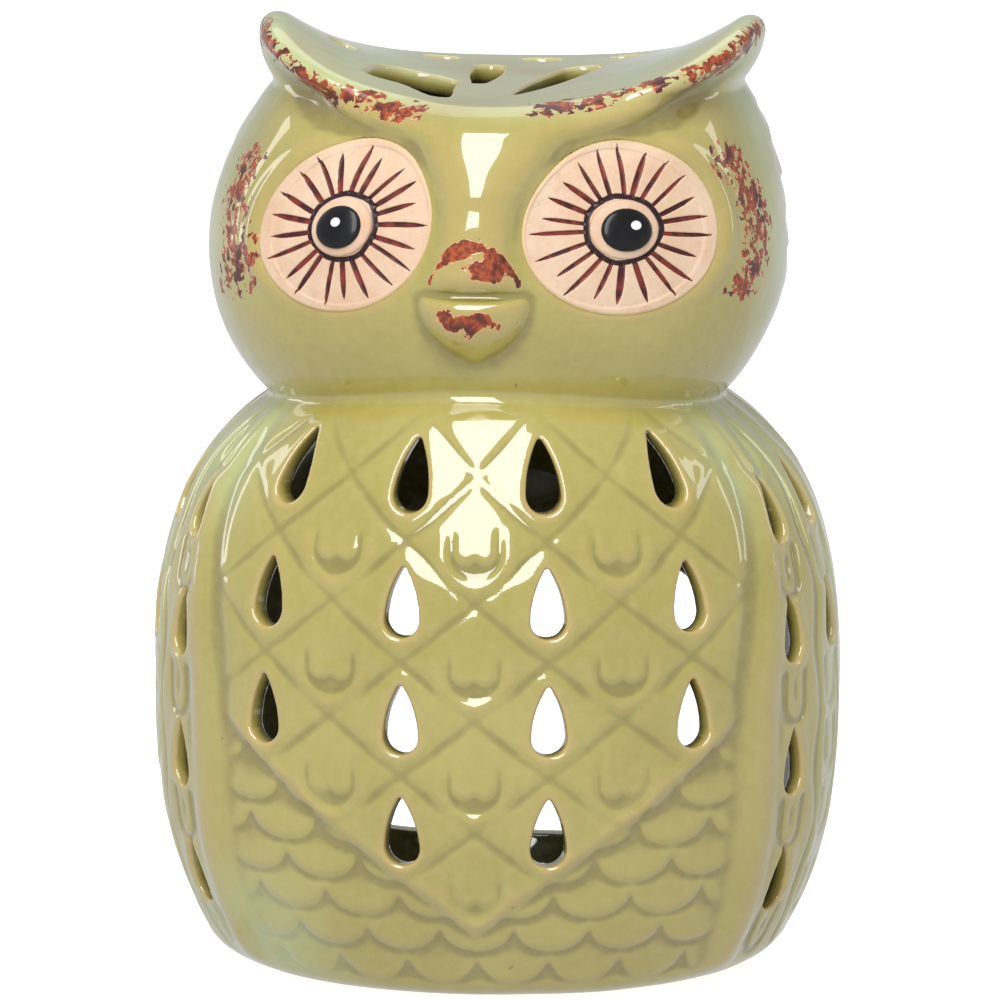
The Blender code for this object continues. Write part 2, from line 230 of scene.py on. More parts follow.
def drop_distance(x, y, heel_radius, tip_radius, length, bow):
    """Distance to a drop with its round heel about the origin and its round tip this far above. The
    flanks are arcs of the radius bow, tangent to both."""
    x = np.abs(x)
    taper = (heel_radius - tip_radius) * (2.0 * bow - heel_radius - tip_radius)
    centre_y = (length**2 - taper) / (2.0 * length)
    centre_x = math.sqrt((bow - heel_radius) ** 2 - centre_y**2)
    px, py = x + centre_x, y - centre_y
    flank = np.hypot(px, py) - bow
    heel = np.hypot(x, y) - heel_radius
    tip = np.hypot(x, y - length) - tip_radius
    below = centre_x * py + centre_y * px < 0.0
    above = centre_x * py - (length - centre_y) * px > 0.0
    return np.where(below, heel, np.where(above, tip, flank))


def hole_shape(x, y, width, height):
    """Distance to a teardrop hole centred on the origin."""
    heel = width / 2.0
    return drop_distance(x, y + height / 2.0 - heel, heel, HOLE_TIP, height - heel - HOLE_TIP, HOLE_BOW)


def oval_distance(x, y, half_width, half_height, squareness):
    """Distance to a superellipse, true near its edge."""
    across, up = np.abs(x) / half_width + 1e-6, np.abs(y) / half_height + 1e-6
    share = (across**squareness + up**squareness) ** (1.0 / squareness)
    steep_x = (across / share) ** (squareness - 1.0) / half_width
    steep_y = (up / share) ** (squareness - 1.0) / half_height
    return (share - 1.0) / np.hypot(steep_x, steep_y)


def shingles(across, z, width, pitch, reach):
    """Overlapping round-ended scales. Returns each point's height from 0 to 1 on its scale, and the
    groove along the scales' lower edges."""
    height = np.zeros_like(z)
    groove = np.zeros_like(z)
    base = np.floor(z / pitch)
    for step in (-1, 0, 1, 2):
        row = base + step
        column = across / width + 0.5 * np.mod(row, 2)
        offset = 2.0 * (column - np.round(column))
        edge = row * pitch - reach * np.sqrt(np.maximum(1.0 - np.abs(offset) ** 2.2, 0.0))
        inside = z - edge
        covered = ease(0.0, 0.9, inside)
        dome = 1.0 - np.clip(inside / (1.5 * pitch), 0.0, 1.0) - 0.25 * offset**2
        height = height * (1.0 - covered) + covered * dome
        groove = np.maximum(groove * (1.0 - covered), bump(inside + 0.1, 0.75))
    return height, groove


def w_motif(x, y):
    """Relief of the small feather mark in every other diamond: a tongue with a lobed end in a U-shaped
    recess, with a rim round it."""
    side = np.abs(x)
    fade = 1.0 - ease(-1.0, 3.5, y)
    bowl = np.hypot(x, np.minimum(y + 2.6, 0.0))
    moat = bowl - 5.3
    lobes = 1.9 * np.sqrt(np.maximum(1.0 - ((side - 2.05) / 2.05) ** 2, 0.0))
    tongue = np.maximum(side - 4.1, -(y + 2.3 + lobes))
    deep = ease(0.5, -0.6, moat) * ease(-0.4, 0.6, tongue)
    rim = bump(moat - 1.3, 1.3)
    return fade * (0.34 * rim - 0.62 * deep + 0.28 * bump(tongue + 0.9, 0.9))


def wing_edge(z):
    return 50.0 + 6.5 * ease(55.0, 105.0, z)


def chest_relief(degrees, z):
    """The quilted lattice inside its V, and the scales below it."""
    u, v = degrees / LATTICE_ANGLE, lattice_row(z)
    first, second = v + u / 2.0, v - u / 2.0
    column = LATTICE_ANGLE * ARC
    steep = math.hypot(0.5 / column, 1.0 / (LATTICE_STEP + 2.0 * LATTICE_GROWTH * 2.0))
    up_first, up_second = first - np.floor(first), second - np.floor(second)
    low = np.minimum(up_first, up_second) / steep
    high = np.minimum(1.0 - up_first, 1.0 - up_second) / steep
    pad = 0.12 * ease(0.0, 1.4, low) * np.exp(-low / 3.0) + 0.16 * ease(0.0, 1.8, np.minimum(low, high))
    pad = pad - 0.34 * bump(np.minimum(low, high), 1.0)
    motif = np.zeros_like(z)
    for row in (0, 1, 2, 3):
        middle = lattice_z(row + 0.5)
        for side in (0,) if row == 0 else (-2, 0, 2):
            x = (degrees - side * LATTICE_ANGLE) * ARC
            motif += w_motif(x, z - middle)
    for row, columns in CHEST_ROWS.items():
        for side in columns:
            x = (degrees - side * LATTICE_ANGLE) * ARC
            near = hole_shape(x, z - lattice_z(row), HOLE_WIDTH, HOLE_HEIGHT)
            pad = pad + 0.30 * bump(near - 1.0, 1.8)
    lattice = pad + motif
    height, groove = shingles(degrees * ARC, z - 2.0, 15.6, 7.4, 5.8)
    scales = -1.25 + 0.9 * height - 0.32 * groove
    inside = np.minimum(first, second) / steep
    frame_band = 0.3 * bump(inside - 1.6, 1.8)
    share = ease(-0.7, 0.7, inside)
    return scales * (1.0 - share) + (0.85 * lattice + frame_band) * share


def wing_relief(degrees, z):
    """Feathers of one wing, on the side where the azimuth is positive."""
    edge = wing_edge(z)
    behind = degrees - edge
    relief = 0.8 * bump(behind - 2.8, 3.4) - 0.5 * bump(behind + 3.4, 3.4)
    relief = relief - 0.55 * ease(4.5, 8.0, behind)
    for place, depth, phase in ((71.5, 0.8, 0.0), (84.5, 0.8, 1.3), (97.0, 0.7, 2.2), (109.0, 0.7, 0.6)):
        wave = place + 1.0 * np.sin(2.0 * math.pi * z / 25.0 + phase) - 4.0 * ease(95.0, 125.0, z)
        line = (degrees - wave) * ARC
        relief = relief - 0.8 * depth * bump(line, 1.1) + 0.25 * bump(np.abs(line) - 2.4, 1.5)
    for centre in (110.5, 86.2, 60.2, 33.8, 10.5):
        x, y = (degrees - 62.4) * ARC, z - centre
        loop = np.abs(np.hypot(x, np.minimum(y + 2.0, 0.0)) - 3.6) + 3.0 * ease(4.5, 8.0, y)
        relief = relief - 0.75 * bump(loop, 0.75) - 0.5 * bump(x, 0.7) * bump(y - 1.0, 3.2)
    for centre in (86.5, 60.5, 47.0, 33.0, 16.0):
        x, y = (degrees - 78.0) * ARC, z - centre
        loop = np.abs(np.hypot(x, np.minimum(y + 2.0, 0.0)) - 3.3) + 3.0 * ease(4.5, 8.0, y)
        relief = relief - 0.65 * bump(loop, 0.75)
    for angle, height in WING_HOLES:
        near = hole_shape((degrees - angle) * ARC, z - height, WING_HOLE_WIDTH, WING_HOLE_HEIGHT)
        relief = relief + 0.3 * bump(near - 1.0, 1.8)
    return relief


def eye_swelling(side, angle):
    """The disc on the -X side is a little fuller along one diagonal than along the other."""
    return 1.0 + np.where(side < 0, 0.03, 0.008) * np.sin(2.0 * angle)


def eye_radius(degrees, z):
    """Place within an eye: 1 on the edge of its disc."""
    side = np.where(degrees < 0.0, -1, 1)
    half = np.where(side < 0, EYE_HALF_ANGLE[-1], EYE_HALF_ANGLE[1])
    across, up = (degrees - side * EYE_ANGLE) / half, (z - EYE_Z) / EYE_HALF_HEIGHT
    return np.hypot(across, up) / eye_swelling(side, np.arctan2(up, across))


def beak_relief(degrees, z):
    """The lower beak: a bowl with its ledge under the upper beak, pointed at the bottom."""
    across = degrees * FACE_ARC + 1.0
    fall = np.clip((144.6 - z) / 12.8, 0.0, 1.0)
    share = np.clip((1.0 - fall**2.4) ** 2 - (across / 11.4) ** 2, 0.0, 1.0)
    lower = 3.6 * np.sqrt(share) * ease(145.8, 144.9, z)
    crease = -0.9 * bump(z - 145.6, 1.0) * bump(across, 9.5)
    return lower + crease


def seat_relief(degrees, z):
    """The broad bowls that the eyes sit in, and the nose between them with the upper beak's end."""
    radius = eye_radius(degrees, z)
    across = degrees * FACE_ARC + 0.6
    reach = np.interp(z, *NOSE_LINE)
    half = 9.4 + 3.4 * ease(156.0, 168.0, z) + 6.0 * ease(168.0, 176.0, z)
    power = 2.0 + 1.8 * ease(165.0, 154.0, z)
    under = np.sqrt(1.0 - np.clip((150.2 - z) / 4.2, 0.0, 1.0) ** 2)
    nose = reach * np.exp(-np.abs(across / half) ** power) * under * ease(0.98, 1.24, radius)
    bowl = -2.4 * np.exp(-(radius / 1.16) ** 6) * (0.25 + 0.75 * ease(144.0, 172.0, z))
    return nose + bowl


def brow_relief(degrees, z, rim):
    """The rolled brow under the crown's edge, the hollow below it and the swelling outside each eye."""
    side = np.abs(degrees)
    below = rim - z
    roll = 2.8 * np.sqrt(np.maximum(1.0 - ((below - 1.8) / 5.0) ** 2, 0.0))
    roll = roll * ease(14.0, 46.0, side) * ease(80.0, 58.0, side)
    under = -2.0 * bump(below - 9.6, 4.4) * ease(7.0, 20.0, side) * ease(80.0, 56.0, side)
    outer = 1.2 * bump(eye_radius(degrees, z) - 1.14, 0.09)
    outer = outer * ease(34.0, 48.0, side) * ease(139.0, 150.0, z)
    temple = -0.8 * bump(z - 171.0, 9.0) * ease(50.0, 70.0, side)
    return roll + under + outer + temple


def build_maps():
    """Radius, relief and paint of the side wall over azimuth and height."""
    degrees = np.arange(-180.0, 180.0, MAP_DEGREES)
    heights = np.arange(MAP_LOW, MAP_HIGH, MAP_STEP)
    a, z = np.meshgrid(degrees, heights, indexing="ij")
    side = np.abs(a)
    turn = np.radians(a)
    plain = side_radius(turn, np.clip(z, 0.0, None))
    rim = rim_height(np.radians(degrees))[:, None]

    edge = wing_edge(z)
    chest = ease(edge - 2.0, edge - 7.5, side) * ease(124.0, 112.0, z)
    wing = ease(edge - 7.0, edge - 3.5, side) * ease(124.0, 116.0, side) * ease(122.0, 110.0, z)
    relief = chest_relief(a, z) * chest + wing_relief(side, z) * wing
    back_height, back_groove = shingles(a * ARC, z - 3.0, 16.0, 8.4, 6.8)
    back = ease(118.0, 124.0, side) * ease(118.0, 108.0, z) * ease(4.0, 9.0, z)
    relief = relief + back * (1.0 * back_height - 0.8 - 0.5 * back_groove)
    nape_height, nape_groove = shingles(a * ARC, z - 1.0, 13.5, 7.6, 6.2)
    nape = ease(86.0, 100.0, side) * ease(126.0, 133.0, z) * ease(181.0, 175.0, z)
    relief = relief + nape * (1.2 * nape_height - 0.5 - 0.5 * nape_groove)
    relief = relief * ease(1.0, 7.0, z)
    relief = blurred(relief, 0.6)

    face = ease(96.0, 70.0, side) * ease(122.0, 130.0, z)
    seat = blurred(seat_relief(a, z) + brow_relief(a, z, rim), 1.1) * face
    relief = relief + seat + blurred(beak_relief(a, z), 0.7) * face
    relief = relief + 0.10 * wandering(a.shape, 7.0, SEED) + 0.03 * wandering(a.shape, 2.4, SEED + 1)
    eye = eye_radius(a, z)
    lip = EYE_HALF_HEIGHT * (eye - 1.0)
    relief = relief + 0.15 * bump(lip - 1.0, 1.0)
    relief = relief - EYE_SINK * blurred(ease(0.15, -0.35, lip), 0.2)

    across = np.gradient(plain, MAP_DEGREES * math.pi / 180.0, axis=0) / np.maximum(plain, 1.0)
    upward = np.gradient(plain, MAP_STEP, axis=1)
    slope = blurred(1.0 / np.sqrt(1.0 + np.minimum(across**2 + upward**2, 12.0)), 0.5)
    # fine and broad pick out ridges and hollows. In their hollows the glaze darkens as pooled glaze; in the
    # larger hollows, such as under the brow, that darkening is painted shade.
    fine = relief - blurred(relief, 1.3)
    broad = 1.35 * relief - blurred(relief, 4.0) - 0.35 * blurred(relief, 11.0)
    return {
        "slope": slope,
        "plain": plain * slope,
        "reach": plain * slope + relief,
        "seat": plain + seat / slope,
        "fine": fine,
        "broad": broad,
    }


MAPS = {name: values.astype(np.float32) for name, values in build_maps().items()}


def looked_up(names, degrees, z):
    """Values of several maps at points of the side wall, straight-line between their cells."""
    shape = MAPS["slope"].shape
    column = (degrees + 180.0) / MAP_DEGREES
    row = np.clip((z - MAP_LOW) / MAP_STEP, 0.0, shape[1] - 1.001)
    left, below = np.floor(column).astype(np.int32), np.floor(row).astype(np.int32)
    across, up = (column - left).astype(np.float32), (row - below).astype(np.float32)
    left, right = np.mod(left, shape[0]), np.mod(left + 1, shape[0])
    found = []
    for name in names:
        values = MAPS[name]
        low = values[left, below] * (1.0 - across) + values[right, below] * across
        high = values[left, below + 1] * (1.0 - across) + values[right, below + 1] * across
        found.append(low * (1.0 - up) + high * up)
    return found


def hole_rows():
    """The azimuth, width and height of each chest and wing hole, listed by the height of its middle."""
    rows = {}
    for row, columns in CHEST_ROWS.items():
        rows[lattice_z(row)] = [(side * LATTICE_ANGLE, HOLE_WIDTH, HOLE_HEIGHT) for side in columns]
    for angle, height in WING_HOLES:
        pair = [(side * angle, WING_HOLE_WIDTH, WING_HOLE_HEIGHT) for side in (-1, 1)]
        rows.setdefault(height, []).extend(pair)
    return rows


def hole_distance(x, y, z, degrees):
    """Distance to the nearest opening's wall, below 0 inside an opening."""
    nearest = np.full_like(x, FAR)
    for height, row in hole_rows().items():
        level = np.flatnonzero(np.abs(z - height) < HOLE_REACH)
        for angle, width, tall in row:
            close = level[np.abs(degrees[level] - angle) < HOLE_REACH_DEGREES]
            turn = math.radians(angle)
            across = x[close] * math.cos(turn) + y[close] * math.sin(turn)
            found = hole_shape(across, z[close] - height, width, tall)
            nearest[close] = np.minimum(nearest[close], found)
    top = np.flatnonzero(z > CROWN - 16.0)
    tx, ty = x[top], y[top]
    found = np.full_like(tx, FAR)
    for tip, tip_radius, heel, heel_radius, bow in VENTS:
        length = math.hypot(tip[0] - heel[0], tip[1] - heel[1])
        ux, uy = (tip[0] - heel[0]) / length, (tip[1] - heel[1]) / length
        px, py = tx - heel[0], ty - heel[1]
        across, along = px * uy - py * ux, px * ux + py * uy
        vent = drop_distance(across, along, heel_radius, tip_radius, length, bow)
        found = -blended_max(-found, -vent, VENT_BLEND)
    for cx, cy in OVALS:
        turn = math.atan2(cx, cy)
        px, py = tx - cx, ty - cy
        along = px * math.cos(turn) - py * math.sin(turn)
        out = px * math.sin(turn) + py * math.cos(turn)
        oval = oval_distance(along, out, OVAL_LENGTH / 2.0, OVAL_WIDTH / 2.0, 2.0)
        found = np.minimum(found, oval)
    nearest[top] = np.minimum(nearest[top], found)
    back = np.flatnonzero((y > 0.3 * BODY_BACK) & (z < DOOR_TOP + 12.0))
    half = (DOOR_TOP - DOOR_SILL) / 2.0
    found = oval_distance(x[back], z[back] - DOOR_SILL - half, DOOR_HALF, half, DOOR_SQUARENESS)
    nearest[back] = np.minimum(nearest[back], found)
    return nearest


def owl_field(points, detail=False):
    """Signed distance to the lantern's surface. With detail, also the distance to the outside of the
    form and to the openings, the azimuth, and the distance down the section from the crown's edge."""
    x, y, z = (points[:, axis] for axis in range(3))
    x = x - head_lean(z)
    radius = np.hypot(x, y)
    degrees = np.degrees(np.arctan2(x, -y))
    slope, reach, plain = looked_up(("slope", "reach", "plain"), degrees, z)
    wall = radius * slope
    horn = horn_rise(x, y)
    steep_x = HORN_POWER * horn / np.maximum(np.abs(x), 1.0)
    steep_y = 2.0 * (y - HORN_Y) / HORN_DEPTH**2 * horn
    top = (z - CROWN - horn) / np.sqrt(1.0 + steep_x**2 + steep_y**2)
    top = round_max(top, z - HORN_TOP, HORN_TOP_ROUND)
    edge = RIM_ROUND * (1.0 - 0.45 * ease(100.0, 140.0, np.abs(degrees)))
    outer = np.maximum(round_max(wall - reach, top, edge), -z)
    inner = np.maximum(round_max(wall - plain, top, edge) + WALL, FLOOR - z)
    shell = np.maximum(outer, -inner)
    holes = hole_distance(x, y, z, degrees)
    field = round_max(shell, -holes, LIP)
    if detail:
        return field, outer, holes, degrees, wall - reach - top
    return field


def head_lean(z):
    """How far the head is shifted towards +X: the casting is a little out of true."""
    return HEAD_LEAN * ease(150.0, 205.0, z)


def in_parts(function, points, size=1500000):
    """A function's values at many points, worked out a part at a time."""
    return np.concatenate([function(points[i : i + size]) for i in range(0, len(points), size)])


def sampled_grid(low, high, voxel, block=4):
    """Distances on a regular grid, worked out finely only near the surface."""
    low = np.asarray(low, float)
    counts = np.ceil((np.asarray(high) - low) / (voxel * block)).astype(int)
    axes = [low[i] + (np.arange(counts[i]) + 0.5) * voxel * block for i in range(3)]
    centres = np.stack(np.meshgrid(*axes, indexing="ij"), -1).reshape(-1, 3).astype(np.float32)
    rough = in_parts(owl_field, centres).reshape(counts)
    near = np.abs(rough) < voxel * block * 0.87 + 1.0
    values = rough.astype(np.float32)
    for axis in range(3):
        values = np.repeat(values, block, axis)
    cells = np.argwhere(near) * block
    steps = np.stack(np.meshgrid(*[np.arange(block)] * 3, indexing="ij"), -1).reshape(-1, 3)
    for start in range(0, len(cells), 20000):
        index = (cells[start : start + 20000, None, :] + steps[None]).reshape(-1, 3)
        points = (low + (index + 0.5) * voxel).astype(np.float32)
        values[index[:, 0], index[:, 1], index[:, 2]] = owl_field(points)
    return values, low + 0.5 * voxel


CORNERS = [(i, j, k) for i in (0, 1) for j in (0, 1) for k in (0, 1)]


def surface_net(values, low, voxel):
    """Vertices and four-sided faces of the grid's zero surface."""
    inside = values < 0.0
    nx, ny, nz = values.shape

    def corner(array, c):
        return array[c[0] : nx - 1 + c[0], c[1] : ny - 1 + c[1], c[2] : nz - 1 + c[2]]

    count = np.zeros((nx - 1, ny - 1, nz - 1), np.uint8)
    for c in CORNERS:
        count += corner(inside, c)
    cells = np.argwhere((count > 0) & (count < 8))
    number = np.full(count.shape, -1, np.int32)
    number[cells[:, 0], cells[:, 1], cells[:, 2]] = np.arange(len(cells))
    at = {c: values[cells[:, 0] + c[0], cells[:, 1] + c[1], cells[:, 2] + c[2]] for c in CORNERS}
    total, hits = np.zeros((len(cells), 3)), np.zeros(len(cells))
    for c in CORNERS:
        for axis in range(3):
            if c[axis]:
                continue
            d = tuple(1 if i == axis else c[i] for i in range(3))
            crosses = (at[c] < 0.0) != (at[d] < 0.0)
            share = np.where(crosses, at[c] / np.where(crosses, at[c] - at[d], 1.0), 0.0)
            point = np.tile(np.array(c, float), (len(cells), 1))
            point[:, axis] += share
            total += point * crosses[:, None]
            hits += crosses
    vertices = low + (cells + total / hits[:, None]) * voxel
    faces = []
    for axis in range(3):
        second, third = (axis + 1) % 3, (axis + 2) % 3
        near = [slice(1, -1)] * 3
        far = [slice(1, -1)] * 3
        near[axis], far[axis] = slice(0, -1), slice(1, None)
        crossing = np.argwhere(inside[tuple(near)] != inside[tuple(far)])
        crossing[:, second] += 1
        crossing[:, third] += 1
        ring = []
        for a, b in ((-1, -1), (0, -1), (0, 0), (-1, 0)):
            cell = crossing.copy()
            cell[:, second] += a
            cell[:, third] += b
            ring.append(number[cell[:, 0], cell[:, 1], cell[:, 2]])
        ring = np.stack(ring, 1)
        outward = inside[crossing[:, 0], crossing[:, 1], crossing[:, 2]]
        faces.append(np.where(outward[:, None], ring, ring[:, ::-1]))
    return vertices, np.concatenate(faces)


def gradient(points, values, step=0.08):
    found = np.zeros_like(points)
    for axis in range(3):
        moved = points.copy()
        moved[:, axis] += step
        found[:, axis] = (in_parts(owl_field, moved) - values) / step
    return found


def settled(points, faces, voxel, rounds):
    """Vertices evened out over the surface and then brought exactly onto it."""
    edges = np.concatenate([faces[:, [i, (i + 1) % 4]] for i in range(4)])
    for turn in range(rounds):
        values = in_parts(owl_field, points)
        slope = gradient(points, values)
        length = np.maximum(np.linalg.norm(slope, axis=1, keepdims=True), 0.3)
        normal = slope / length
        step = np.clip(values[:, None] / length, -0.6 * voxel, 0.6 * voxel)
        points = points - normal * step
        if turn == 0:
            total = np.zeros_like(points)
            for axis in range(3):
                total[:, axis] = np.bincount(edges[:, 0], points[edges[:, 1], axis], len(points))
            hits = np.bincount(edges[:, 0], minlength=len(points))
            pull = total / hits[:, None] - points
            pull -= normal * (pull * normal).sum(1, keepdims=True)
            points = points + 0.5 * pull
    return points


def mesh_object(name, points, faces, material, attributes=None):
    """A smooth-shaded object from arrays of points in millimetres and four-sided faces."""
    mesh = bpy.data.meshes.new(name)
    mesh.vertices.add(len(points))
    mesh.vertices.foreach_set("co", (np.asarray(points) * MM).astype(np.float32).ravel())
    mesh.loops.add(faces.size)
    mesh.loops.foreach_set("vertex_index", faces.astype(np.int32).ravel())
    mesh.polygons.add(len(faces))
    mesh.polygons.foreach_set("loop_start", np.arange(0, faces.size, 4, dtype=np.int32))
    mesh.polygons.foreach_set("loop_total", np.full(len(faces), 4, np.int32))
    mesh.update(calc_edges=True)
    mesh.validate()
    mesh.shade_smooth()
    for key, values in (attributes or {}).items():
        layer = mesh.attributes.new(key, "FLOAT", "POINT")
        layer.data.foreach_set("value", np.asarray(values, np.float32))
    made = bpy.data.objects.new(name, mesh)
    bpy.context.scene.collection.objects.link(made)
    mesh.materials.append(material)
    return made


# ---------------------------------------------------------------- paint weights


def distress(points, degrees, over):
    """How strongly the glaze is worn to the red clay: broken wear at the temples and along the brow, and
    fuller wear on the beak. over is the distance along the section from the crown's edge, down the face."""
    z = points[:, 2]
    side = np.abs(degrees)
    left = bump(degrees + 61.5 + 3.0 * np.sin(z / 5.0), 7.5)
    left = left * ease(138.0, 144.0, z) * ease(176.0, 168.0, z)
    right = bump(degrees - 63.0 - 4.0 * np.sin(z / 6.0 + 0.6), 7.0)
    right = right * ease(139.0, 145.0, z) * ease(178.0, 170.0, z)
    left_place, right_place = 0.5 + 2.5 * ease(30.0, 50.0, side), -3.0 + 6.0 * ease(38.0, 58.0, degrees)
    place = np.where(degrees < 0.0, left_place, right_place)
    span = np.where(degrees < 0.0, ease(13.0, 22.0, side), ease(4.0, 14.0, side))
    span = span * ease(96.0, 80.0, side)
    brow = 1.08 * bump(over - place, 3.6) * span * ease(170.0, 176.0, z)
    along = degrees + 1.0
    arch = bump(z - 156.2 + 0.085 * along**2, 2.0) * ease(10.5, 8.5, np.abs(along))
    patch = bump(along - 2.8, 4.4) * bump(z - 151.6, 2.8)
    lower = bump(along + 1.4, 7.2) * bump(z - 140.9, 3.8) * ease(144.6, 143.8, z)
    return np.maximum.reduce([left, right, brow]), np.maximum.reduce([arch, patch, lower])


def glaze_attributes(points):
    """What the glaze's colour depends on at each point: relief, which also carries painted shade in the
    larger hollows; depth into the wall, which carries painted shade inside; edges, wear and mint areas.
    """
    points = points.astype(np.float32)
    starts = range(0, len(points), PART_SIZE)
    parts = [owl_field(points[i : i + PART_SIZE], detail=True) for i in starts]
    details = [np.concatenate(part).astype(np.float32) for part in zip(*parts)]
    _, outer, holes, degrees, over = details
    fine, broad = looked_up(("fine", "broad"), degrees, points[:, 2])
    outside = ease(-2.2, -0.9, outer)
    to_crown = np.abs(points[:, 2] - crown_height(points[:, 0], points[:, 1]))
    top = ease(172.0, 184.0, points[:, 2]) * ease(3.0, 0.0, to_crown)
    side_only = outside * (1.0 - top)
    lip = bump(np.maximum(holes - 0.1, 0.0), 0.8) * ease(-2.2, -0.2, outer)
    z = points[:, 2]
    side = np.abs(degrees)
    speckled, solid = distress(points, degrees, over)
    shoulder = 0.55 * ease(88.0, 108.0, z) * ease(124.0, 116.0, z) * ease(40.0, 58.0, side)
    cheek = 0.8 * ease(58.0, 82.0, side) * ease(120.0, 130.0, z)
    wing = ease(66.0, 84.0, side) * 0.45
    aside = 0.55 * ease(6.0, 32.0, np.abs(points[:, 0])) + 0.45 * ease(-34.0, 0.0, points[:, 1])
    crown = ease(4.0, -2.0, over) * ease(CROWN - 8.0, CROWN - 2.0, z) * (0.34 + 0.66 * aside)
    foot = ease(34.0, 8.0, z) * ease(-20.0, -46.0, degrees) * 0.6
    horn = 0.95 * ease(184.0, 192.0, z)
    mint = np.maximum.reduce([shoulder, cheek, wing, crown, foot, horn])
    return {
        "fine": fine * side_only,
        "broad": broad * side_only,
        "lip": lip,
        # painted shade: the inner wall and the far parts of the openings' walls, where little light gets
        # in, are marked for darkening
        "deep": 1.0 - ease(-3.4, -1.2, outer),
        "worn": speckled * outside,
        "bare": solid * outside,
        "mint": mint * outside,
    }


# ---------------------------------------------------------------- materials


class Nodes:
    """A small helper that adds and links the shader nodes of a material or a world."""

    def __init__(self, owner, shader="Principled BSDF"):
        owner.use_nodes = True
        self.owner = owner
        self.tree = owner.node_tree
        self.shader = self.tree.nodes[shader]

    def add(self, kind, settings=None, **inputs):
        node = self.tree.nodes.new("ShaderNode" + kind)
        for key, value in (settings or {}).items():
            setattr(node, key, value)
        for key, value in inputs.items():
            socket = int(key[1:]) if key[1:].isdigit() else key.replace("_", " ")
            self.put(node.inputs[socket], value)
        return node

    def put(self, socket, value):
        if isinstance(value, bpy.types.NodeSocket):
            self.tree.links.new(value, socket)
        else:
            socket.default_value = value

    def math(self, operation, a, b):
        return self.add("Math", {"operation": operation}, i0=a, i1=b).outputs[0]

    def scaled(self, value, factor):
        return self.math("MULTIPLY", value, factor)

    def spread(self, noise, factor):
        """A noise as a change about 0."""
        return self.scaled(self.math("SUBTRACT", noise, 0.5), factor)

    def ease(self, value, low, high, first=0.0, last=1.0, kind="SMOOTHSTEP"):
        """The value from low to high, taken from first to last."""
        sockets = {"From_Min": low, "From_Max": high, "To_Min": first, "To_Max": last}
        node = self.add("MapRange", {"interpolation_type": kind}, Value=value, **sockets)
        return node.outputs["Result"]

    def between(self, share, first, last):
        return self.ease(share, 0.0, 1.0, first, last, "LINEAR")

    def mix(self, share, a, b):
        node = self.add("Mix", {"data_type": "RGBA"})
        self.put(node.inputs["Factor"], share)
        self.put(node.inputs[6], a)
        self.put(node.inputs[7], b)
        return node.outputs[2]

    def tint(self, colour, share, strength, shade):
        """The colour with another laid over it, as strongly as share times strength."""
        return self.mix(self.scaled(share, strength), colour, shade)

    def noise(self, place, scale, detail=3.0, roughness=0.5, distortion=0.0):
        inputs = {"Scale": scale, "Detail": detail, "Roughness": roughness, "Distortion": distortion}
        return self.add("TexNoise", Vector=place, **inputs).outputs["Fac"]

    def attribute(self, name):
        return self.add("Attribute", {"attribute_name": name}).outputs["Fac"]

    def place(self):
        return self.add("TexCoord").outputs["Object"]

    def bump(self, height, strength, distance):
        node = self.add("Bump", Strength=strength, Distance=distance)
        self.put(node.inputs["Height"], height)
        return node.outputs["Normal"]

    def set(self, **inputs):
        for key, value in inputs.items():
            self.put(self.shader.inputs[key.replace("_", " ")], value)


def srgb(red, green, blue):
    """A linear colour from eight-bit display values."""
    return (*[((v / 255.0 + 0.055) / 1.055) ** 2.4 for v in (red, green, blue)], 1.0)


